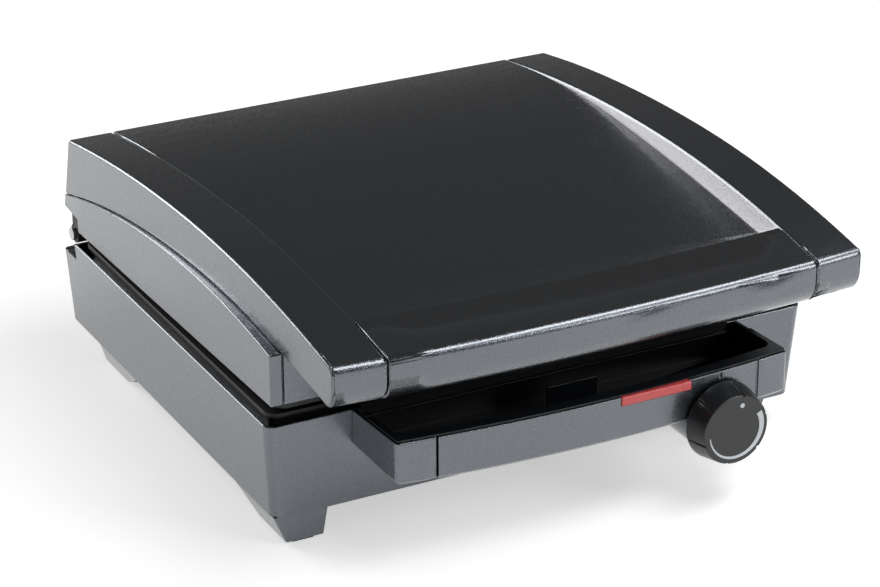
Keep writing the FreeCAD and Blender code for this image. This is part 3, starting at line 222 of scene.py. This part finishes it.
def lacquer(name, colour, flake_shade, flake_tilt, roughness, lean_up=0.0):
    """Flake lacquer: a colour, how much the flakes vary in shade and in tilt, and a lean of the face."""
    finish, tree, shader = start_finish(name)
    cells = add(tree, "ShaderNodeTexVoronoi")
    set_sockets(cells, {"Scale": 1 / FLAKE_SIZE})
    tree.links.new(object_place(tree), cells.inputs["Vector"])
    channel = add(tree, "ShaderNodeSeparateColor")
    tree.links.new(cells.outputs["Color"], channel.inputs["Color"])
    shade = shades(tree, channel.outputs["Red"], colour, 1 - flake_shade, 1 + flake_shade)
    tree.links.new(shade, shader.inputs["Base Color"])
    normal = tilted(tree, cells.outputs["Color"], flake_tilt, lean_up)
    tree.links.new(normal, shader.inputs["Normal"])
    tree.links.new(spread(tree, channel.outputs["Green"], roughness - 0.06, roughness + 0.06),
                   shader.inputs["Roughness"])
    set_sockets(shader, {"Metallic": 1.0, **CLEAR_COAT})
    return finish


shell_lacquer = lacquer("shell_lacquer", (0.135, 0.148, 0.166), 0.18, 0.26, 0.30)
# Painted light: the recess walls' lacquer is the shell's colour made paler, for the light these walls catch.
painted_light_wall_lacquer = lacquer("painted_light_wall_lacquer", (0.24, 0.24, 0.245), 0.04, 0.10, 0.36, lean_up=0.42)
print("lacquers", shell_lacquer.name, painted_light_wall_lacquer.name)

# %% [markdown]
# ## Plastics, coatings and metals
# The tray and the knob are black moulded plastic with a very fine texture from the mould. The plates have a
# dark non-stick coating with small specks. Sheet, screws and heaters are metals, told apart by their grain:
# rolled sheet is drawn out in one direction, and a heater's tube is dulled by heat. Each could be one colour
# and one gloss, but then plastic, rubber and steel would look alike up close.

# %% Moulded plastic and rubber


def moulded(name, colour, roughness, grain_size=0.0006, depth=0.00003, edge=0.0005, coat=0.0):
    """Moulded plastic with a fine texture; its shade wanders slightly over the piece."""
    finish, tree, shader = start_finish(name)
    tree.links.new(shades(tree, grain(tree, 0.03), colour, 0.88, 1.12), shader.inputs["Base Color"])
    relief = bumped(tree, grain(tree, grain_size), depth, soft_edge(tree, edge))
    tree.links.new(relief, shader.inputs["Normal"])
    tree.links.new(spread(tree, grain(tree, 0.008), roughness - 0.05, roughness + 0.05),
                   shader.inputs["Roughness"])
    set_sockets(shader, {"Coat Weight": coat, "Coat Roughness": 0.2})
    return finish


black_knob = moulded("black_knob", (0.009, 0.010, 0.012), 0.38, edge=0.0004, coat=0.4)
black_tray = moulded("black_tray", (0.0035, 0.005, 0.007), 0.34, depth=0.00002)
black_plastic = moulded("black_plastic", (0.018, 0.018, 0.02), 0.5)
rubber = moulded("rubber", (0.015, 0.015, 0.016), 0.75, 0.0009, 0.00006)
cream_plastic = moulded("cream_plastic", (0.62, 0.58, 0.47), 0.45)
brown_resin = moulded("brown_resin", (0.13, 0.055, 0.03), 0.4)
print("plastics and rubber ready")

# %% Non-stick coating
SPECK_SPACING = 0.0016
SPECK_RADIUS = 0.16


def coated_plate(name):
    """Non-stick coating: near black, with pale specks and a faint orange-peel surface."""
    finish, tree, shader = start_finish(name)
    specks = add(tree, "ShaderNodeTexVoronoi")
    set_sockets(specks, {"Scale": 1 / SPECK_SPACING})
    tree.links.new(object_place(tree), specks.inputs["Vector"])
    near = add(tree, "ShaderNodeMath", operation="LESS_THAN")
    tree.links.new(specks.outputs["Distance"], near.inputs[0])
    near.inputs[1].default_value = SPECK_RADIUS
    tree.links.new(between(tree, near.outputs["Value"], (0.022, 0.022, 0.024), (0.075, 0.075, 0.078)),
                   shader.inputs["Base Color"])
    relief = bumped(tree, grain(tree, 0.0012), 0.00004, soft_edge(tree, 0.0006))
    tree.links.new(relief, shader.inputs["Normal"])
    tree.links.new(spread(tree, grain(tree, 0.02), 0.36, 0.5), shader.inputs["Roughness"])
    return finish


non_stick = coated_plate("non_stick")
print("coating", non_stick.name)

# %% Bare metals


def metal(name, colour, roughness, stretch, grain_size=0.0004):
    """Bare metal whose grain is drawn out along some axes."""
    finish, tree, shader = start_finish(name)
    drawn = add(tree, "ShaderNodeMapping")
    set_sockets(drawn, {"Scale": stretch})
    tree.links.new(object_place(tree), drawn.inputs["Vector"])
    lines = add(tree, "ShaderNodeTexNoise")
    set_sockets(lines, {"Scale": 1 / grain_size})
    tree.links.new(drawn.outputs["Vector"], lines.inputs["Vector"])
    tree.links.new(shades(tree, lines.outputs["Fac"], colour, 0.85, 1.1), shader.inputs["Base Color"])
    tree.links.new(spread(tree, lines.outputs["Fac"], roughness - 0.08, roughness + 0.08),
                   shader.inputs["Roughness"])
    relief = bumped(tree, lines.outputs["Fac"], 0.00002, soft_edge(tree, 0.0003))
    tree.links.new(relief, shader.inputs["Normal"])
    set_sockets(shader, {"Metallic": 1.0})
    return finish


zinc = metal("zinc", (0.56, 0.56, 0.55), 0.38, (1, 1, 1))
sheet_metal = metal("sheet_metal", (0.66, 0.66, 0.65), 0.3, (0.02, 1, 1))
turned_steel = metal("turned_steel", (0.6, 0.6, 0.59), 0.28, (1, 0.05, 1))
heater_tube = metal("heater_tube", (0.30, 0.27, 0.24), 0.48, (1, 1, 1), 0.0015)
print("four metals ready")

# %% Red lens and lamp glass


def red_lens():
    """Translucent red plastic: light goes some way in, so it glows a little where it is thin."""
    finish, tree, shader = start_finish("red_lens")
    tree.links.new(between(tree, grain(tree, 0.004), (0.72, 0.07, 0.075), (0.82, 0.10, 0.10)),
                   shader.inputs["Base Color"])
    relief = bumped(tree, grain(tree, 0.0012), 0.00002, soft_edge(tree, 0.0006))
    tree.links.new(relief, shader.inputs["Normal"])
    tree.links.new(spread(tree, grain(tree, 0.006), 0.24, 0.34), shader.inputs["Roughness"])
    set_sockets(shader, {"Transmission Weight": 0.12, "Coat Weight": 0.6, "Coat Roughness": 0.15})
    return finish


def lamp_glass():
    """Clear glass of the pilot lamp, tinted warm."""
    finish, tree, shader = start_finish("lamp_glass")
    tree.links.new(between(tree, grain(tree, 0.003), (0.9, 0.62, 0.45), (0.95, 0.72, 0.55)),
                   shader.inputs["Base Color"])
    tree.links.new(spread(tree, grain(tree, 0.002), 0.05, 0.15), shader.inputs["Roughness"])
    set_sockets(shader, {"Transmission Weight": 0.8})
    return finish


lens_red = red_lens()
glass = lamp_glass()
print("lens and glass", lens_red.name, glass.name)

# %% [markdown]
# ## One finish for each piece
# The appliance has fourteen finishes, half of them inside. They could be given piece by piece, but a table
# from finish to pieces keeps the whole appliance in view at once, and the print below it proves that no piece
# is missed.

# %% Finishes by piece
FINISHES = {
    shell_lacquer: ["base_housing", "base_rear_wall", "foot_legs", "lid_frame", "front_console",
                    "control_panel", "lid_left_strip", "lid_right_strip", "lid_middle_panel"],
    black_knob: ["control_knob"],
    black_tray: ["drip_tray"],
    black_plastic: ["base_bottom_cover", "cord_gland", "hinge_bracket_left", "hinge_bracket_right",
                    "hinge_arm_left", "hinge_arm_right"],
    rubber: ["rubber_feet"],
    cream_plastic: ["terminal_block"],
    brown_resin: ["thermal_cutout"],
    non_stick: ["lower_plate", "upper_plate"],
    zinc: ["bottom_cover_screws", "lower_plate_screws", "upper_plate_screws", "lower_element_clamps",
           "upper_element_clamps", "thermostat_body"],
    sheet_metal: ["lower_reflector", "upper_reflector"],
    turned_steel: ["thermostat_shaft", "hinge_pins"],
    heater_tube: ["lower_heating_element", "upper_heating_element"],
    lens_red: ["pilot_lens"],
    glass: ["pilot_lamp"],
}


def give_finish(piece, finish):
    """Sets the one finish of a piece, whatever it came with."""
    for place in piece.material_slots:
        place.link = "OBJECT"
        place.material = finish
    if not piece.material_slots:
        piece.data.materials.append(finish)


for finish, names in FINISHES.items():
    for name in names:
        give_finish(nodes[name], finish)
finished = {name for names in FINISHES.values() for name in names}
print("pieces without a finish:", sorted(set(nodes) - finished))

# %% [markdown]
# ## Rounded edges
# A moulding's edges are rounded by a millimetre or two, and here they carry the brightest lines of the
# picture: along the lid's side strips, on the wings' ledges and round the housing's rim. Rounding in the
# shading alone leaves the outline sharp. So these pieces are copied, the loose triangles of each merged into
# whole faces, and their edges bevelled. A rule chooses the edges of each piece, because a bevel folds over
# itself where faces are narrow, as on the lip's curl and the housing's lower corners. The first solids stay
# for the mechanics, and each copy stands for its own.

# %% Copy a piece with its triangles merged into faces
MERGE_DISTANCE = 0.000002
FLAT_ANGLE = math.radians(0.05)


def merged_copy(name, source, flat):
    """Copy of a solid with its points merged and, on a flat-sided piece, its flat areas made whole."""
    shape = bmesh.new()
    shape.from_mesh(source.data)
    bmesh.ops.remove_doubles(shape, verts=shape.verts, dist=MERGE_DISTANCE)
    if flat:
        bmesh.ops.dissolve_limit(shape, angle_limit=FLAT_ANGLE, verts=shape.verts, edges=shape.edges,
                                 use_dissolve_boundaries=False)
    mesh = bpy.data.meshes.new(name)
    shape.to_mesh(mesh)
    shape.free()
    piece = bpy.data.objects.new(name, mesh)
    scene.collection.objects.link(piece)
    return piece


print("copies can be made")

# %% Bevel the edges that a rule chooses
SHARP_ANGLE = math.radians(35)
BEVEL_STEPS = 3
RIM_HEIGHT = 0.055
SEAM_WALL = 0.9


def round_edges(piece, width, chosen):
    """Bevels the convex edges that the rule chooses, and shades smoothly between them."""
    shape = bmesh.new()
    shape.from_mesh(piece.data)
    weight = shape.edges.layers.float.new("bevel_weight_edge")
    for edge in shape.edges:
        if len(edge.link_faces) == 2 and edge.is_convex and edge.calc_face_angle() > SHARP_ANGLE:
            edge[weight] = 1.0 if chosen(edge) else 0.0
    shape.to_mesh(piece.data)
    shape.free()
    bevel = piece.modifiers.new("round_edges", "BEVEL")
    bevel.width = width
    bevel.segments = BEVEL_STEPS
    bevel.limit_method = "WEIGHT"
    bevel.harden_normals = True
    bevel.use_clamp_overlap = False
    piece.data.shade_smooth()
    piece.data.set_sharp_from_angle(angle=SHARP_ANGLE)


def every(edge):
    """All sharp edges."""
    return True


def high(edge):
    """Edges round the housing's top."""
    return min(vertex.co.z for vertex in edge.verts) > RIM_HEIGHT


def at_seam(edge):
    """Edges between a side wall of the seam and the surface above it."""
    return sum(abs(face.normal.x) > SEAM_WALL for face in edge.link_faces) == 1


print("rules for edges ready")

# %% Rounded copies
ROUNDED = [
    ("base", "base_housing", 0.0009, high), ("base", "front_console", 0.0008, every),
    ("base", "control_panel", 0.0004, every), ("base", "pilot_lens", 0.0008, every),
    ("lid", "lid_left_strip", 0.0018, every), ("lid", "lid_right_strip", 0.0018, every),
    ("lid", "lid_frame", 0.0009, every), ("lid", "lid_middle_panel", 0.0009, at_seam),
    ("tray", "drip_tray", 0.0004, every), ("knob", "control_knob", 0.0006, every),
]
CURLED_PIECE = "lid_middle_panel"
INWARD = {"lid_left_strip": 1, "lid_right_strip": -1}
RECESS_WALL = 0.95
STRIP_MIDDLE = 0.140


def paint_light_on_recess_wall(piece, inward):
    """Gives the wall of a side strip that faces the lid's middle the paler lacquer, with painted light in its
    colour.
    """
    piece.data.materials.append(painted_light_wall_lacquer)
    for face in piece.data.polygons:
        if face.normal.x * inward > RECESS_WALL and abs(face.center.x) < STRIP_MIDDLE:
            face.material_index = 1


rounded = []
for body, name, width, rule in ROUNDED:
    source = nodes[name]
    piece = merged_copy("rounded_" + name, source, name != CURLED_PIECE)
    piece.data.materials.append(source.material_slots[0].material)
    if name in INWARD:
        # The strip's inner wall gets painted light: the paler copy of the shell lacquer.
        paint_light_on_recess_wall(piece, INWARD[name])
    round_edges(piece, width, rule)
    rounded.append((piece, body, name))
    print(name, len(source.data.polygons), "triangles ->", len(piece.data.polygons), "faces")

# %% Let each copy stand for its solid
for piece, body, name in rounded:
    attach(piece, body)
    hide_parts(name)
print(len(rounded), "copies stand for their solids")

# %% [markdown]
# ## The print on the knob
# The knob's face carries a pale dot and a pale arc that grows wider clockwise, so that one sees at a glance
# which way is hotter. It could be painted by the material, but a thin raised print has crisp edges at any
# distance. The arc follows a path, so Geometry Nodes make it: a curve round the knob, a flat ribbon along it,
# and a width that grows.

# %% Where the print lies
knob_low, knob_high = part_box("control_knob")
KNOB_X = (knob_low[0] + knob_high[0]) / 2
KNOB_Z = (knob_low[2] + knob_high[2]) / 2
KNOB_FACE = knob_low[1]
PRINT_HEIGHT = 0.00005
print_white = moulded("print_white", (0.72, 0.76, 0.80), 0.5, edge=0.0001)


def clock_point(degrees, radius):
    """Point just above the knob's face, by its clock angle from the top as seen from the front."""
    turn = math.radians(degrees)
    across, up = radius * math.sin(turn), radius * math.cos(turn)
    return Vector((KNOB_X + across, KNOB_FACE - PRINT_HEIGHT, KNOB_Z + up))


print("knob's middle", round(KNOB_X, 4), round(KNOB_Z, 4))

# %% Ribbon that widens along a curve


def ribbon_tree():
    """Curve in, tapered flat ribbon out."""
    tree = bpy.data.node_groups.new("tapered_ribbon", "GeometryNodeTree")
    face = tree.interface
    face.new_socket("Geometry", in_out="INPUT", socket_type="NodeSocketGeometry")
    for name in ("Thin width", "Thick width"):
        face.new_socket(name, in_out="INPUT", socket_type="NodeSocketFloat")
    face.new_socket("Finish", in_out="INPUT", socket_type="NodeSocketMaterial")
    face.new_socket("Geometry", in_out="OUTPUT", socket_type="NodeSocketGeometry")
    start, end = add(tree, "NodeGroupInput"), add(tree, "NodeGroupOutput")
    along = add(tree, "GeometryNodeSplineParameter")
    width = add(tree, "ShaderNodeMapRange")
    profile = add(tree, "GeometryNodeCurvePrimitiveLine")
    set_sockets(profile, {"Start": (0, -0.5, 0), "End": (0, 0.5, 0)})
    ribbon = add(tree, "GeometryNodeCurveToMesh")
    real = add(tree, "GeometryNodeRealizeInstances")
    paint = add(tree, "GeometryNodeSetMaterial")
    link = tree.links.new
    link(along.outputs["Factor"], width.inputs["Value"])
    link(start.outputs["Thin width"], width.inputs["To Min"])
    link(start.outputs["Thick width"], width.inputs["To Max"])
    link(start.outputs["Geometry"], ribbon.inputs["Curve"])
    link(width.outputs["Result"], ribbon.inputs["Scale"])
    link(profile.outputs["Curve"], ribbon.inputs["Profile Curve"])
    link(ribbon.outputs["Mesh"], real.inputs["Geometry"])
    link(real.outputs["Geometry"], paint.inputs["Geometry"])
    link(start.outputs["Finish"], paint.inputs["Material"])
    link(paint.outputs["Geometry"], end.inputs["Geometry"])
    return tree


def set_input(modifier, name, value):
    """Gives a named input of a Geometry Nodes modifier its value, by the socket's identifier."""
    for item in modifier.node_group.interface.items_tree:
        if item.item_type == "SOCKET" and item.in_out == "INPUT" and item.name == name:
            modifier[item.identifier] = value


print("ribbon ready")

# %% Arc
ARC_RADIUS = 0.0168
THIN_END, THICK_END = 264, 62
THIN_WIDTH, THICK_WIDTH = 0.0006, 0.0034
ARC_STEPS = 72


def arc_path():
    """Curve object round the knob's face, from the arc's thin end to its thick end."""
    path = bpy.data.curves.new("arc_path", "CURVE")
    path.dimensions = "3D"
    spline = path.splines.new("POLY")
    spline.points.add(ARC_STEPS)
    step = (THIN_END - THICK_END) / ARC_STEPS
    for index in range(ARC_STEPS + 1):
        spline.points[index].co = (*clock_point(THIN_END - step * index, ARC_RADIUS), 1)
    holder = bpy.data.objects.new("arc_path", path)
    scene.collection.objects.link(holder)
    return holder


def baked(name, holder):
    """Plain mesh object from an object whose modifiers have done their work."""
    bpy.context.view_layer.update()
    result = bpy.data.meshes.new_from_object(holder.evaluated_get(bpy.context.evaluated_depsgraph_get()))
    result.name = name
    piece = bpy.data.objects.new(name, result)
    scene.collection.objects.link(piece)
    bpy.data.objects.remove(holder)
    return piece


holder = arc_path()
ribbon = holder.modifiers.new("ribbon", "NODES")
ribbon.node_group = ribbon_tree()
set_input(ribbon, "Thin width", THIN_WIDTH)
set_input(ribbon, "Thick width", THICK_WIDTH)
set_input(ribbon, "Finish", print_white)
knob_arc = baked("knob_arc", holder)
print("arc", len(knob_arc.data.polygons), "faces", [round(v, 4) for v in knob_arc.dimensions])

# %% Dot
DOT_ANGLE = 14.5
DOT_DISTANCE = 0.0148
DOT_RADIUS = 0.00145
DOT_CORNERS = 40


def flat_disc(name, centre, radius, finish):
    """Small printed disc that faces the front."""
    shape = bmesh.new()
    ring = []
    for index in range(DOT_CORNERS):
        turn = 2 * math.pi * index / DOT_CORNERS
        ring.append(shape.verts.new(centre + Vector((radius * math.cos(turn), 0, radius * math.sin(turn)))))
    shape.faces.new(ring)
    mesh = bpy.data.meshes.new(name)
    shape.to_mesh(mesh)
    shape.free()
    mesh.materials.append(finish)
    piece = bpy.data.objects.new(name, mesh)
    scene.collection.objects.link(piece)
    return piece


knob_dot = flat_disc("knob_dot", clock_point(DOT_ANGLE, DOT_DISTANCE), DOT_RADIUS, print_white)
for piece in (knob_arc, knob_dot):
    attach(piece, "knob")
print("dot and arc on the knob")

# %% [markdown]
# ## Floor and light
# The appliance stands on a pale floor that runs out to white, and its lid is dark because the room above it
# is. The floor could be made white by stronger lamps, but they would wash out the lacquer and the shadow. So
# the floor has a little glow of its own, only for the camera and in reflections. A softbox overhead gives the
# white line on the lip, one behind on the left draws the edges of the strips and wings, and one in front on
# the right lights the front walls. The sky adds little.

# %% Floor
GLOW_IN_VIEW = 0.54
GLOW_IN_GLOSS = 0.4
FLOOR_REACH = 6.0


def floor_finish():
    """Matt pale floor that shows a touch lighter to the camera and in gloss."""
    finish, tree, shader = start_finish("pale_floor")
    tree.links.new(between(tree, grain(tree, 0.05), (0.80, 0.80, 0.80), (0.82, 0.82, 0.82)),
                   shader.inputs["Base Color"])
    set_sockets(shader, {"Roughness": 0.9, "Specular IOR Level": 0.0})
    rays = add(tree, "ShaderNodeLightPath")
    gloss = add(tree, "ShaderNodeMath", operation="MULTIPLY")
    tree.links.new(rays.outputs["Is Glossy Ray"], gloss.inputs[0])
    gloss.inputs[1].default_value = GLOW_IN_GLOSS
    extra = add(tree, "ShaderNodeMath", operation="MULTIPLY_ADD")
    tree.links.new(rays.outputs["Is Camera Ray"], extra.inputs[0])
    extra.inputs[1].default_value = GLOW_IN_VIEW
    tree.links.new(gloss.outputs["Value"], extra.inputs[2])
    glow = add(tree, "ShaderNodeEmission")
    tree.links.new(extra.outputs["Value"], glow.inputs["Strength"])
    both = add(tree, "ShaderNodeAddShader")
    tree.links.new(shader.outputs["BSDF"], both.inputs[0])
    tree.links.new(glow.outputs["Emission"], both.inputs[1])
    tree.links.new(both.outputs["Shader"], tree.nodes["Material Output"].inputs["Surface"])
    return finish


floor_mesh = bpy.data.meshes.new("floor")
floor_corners = [(FLOOR_REACH * x, FLOOR_REACH * y, 0) for x, y in ((-1, -1), (1, -1), (1, 1), (-1, 1))]
floor_mesh.from_pydata(floor_corners, [], [(0, 1, 2, 3)])
floor_mesh.materials.append(floor_finish())
floor = bpy.data.objects.new("floor", floor_mesh)
scene.collection.objects.link(floor)
print("floor", FLOOR_REACH * 2, "m wide")

# %% Softboxes: name, place, aim, width, height, watts
SOFTBOXES = [
    ("overhead", (0.5, -0.5, 1.3), (0, 0, 0.1), 1.5, 0.42, 13.0),
    ("back_left", (-1.0, 1.6, 0.8), (0, 0, 0.1), 1.3, 0.8, 20.0),
    ("front_right", (1.3, -1.5, 1.0), (0, 0, 0.08), 1.0, 0.7, 13.0),
]


def softbox(name, place, target, width, height, power):
    """Rectangular lamp aimed at a point."""
    lamp = bpy.data.lights.new(name, "AREA")
    lamp.shape = "RECTANGLE"
    lamp.size, lamp.size_y = width, height
    lamp.energy = power
    holder = bpy.data.objects.new(name, lamp)
    scene.collection.objects.link(holder)
    aim = Vector(target) - Vector(place)
    holder.matrix_world = Matrix.Translation(place) @ aim.to_track_quat("-Z", "Y").to_matrix().to_4x4()


for box in SOFTBOXES:
    softbox(*box)
print(len(SOFTBOXES), "softboxes")

# %% Sky: dim on the appliance, white to the camera
SKY_ON_APPLIANCE = 0.09
SKY_IN_VIEW = 1.0

sky = bpy.data.worlds.new("sky")
scene.world = sky
sky.use_nodes = True
background = sky.node_tree.nodes["Background"]
rays = add(sky.node_tree, "ShaderNodeLightPath")
level = spread(sky.node_tree, rays.outputs["Is Camera Ray"], SKY_ON_APPLIANCE, SKY_IN_VIEW)
sky.node_tree.links.new(level, background.inputs["Strength"])
set_sockets(background, {"Color": (1, 1, 1, 1)})
scene.view_settings.view_transform = "Standard"
print("sky from", SKY_ON_APPLIANCE, "to", SKY_IN_VIEW)
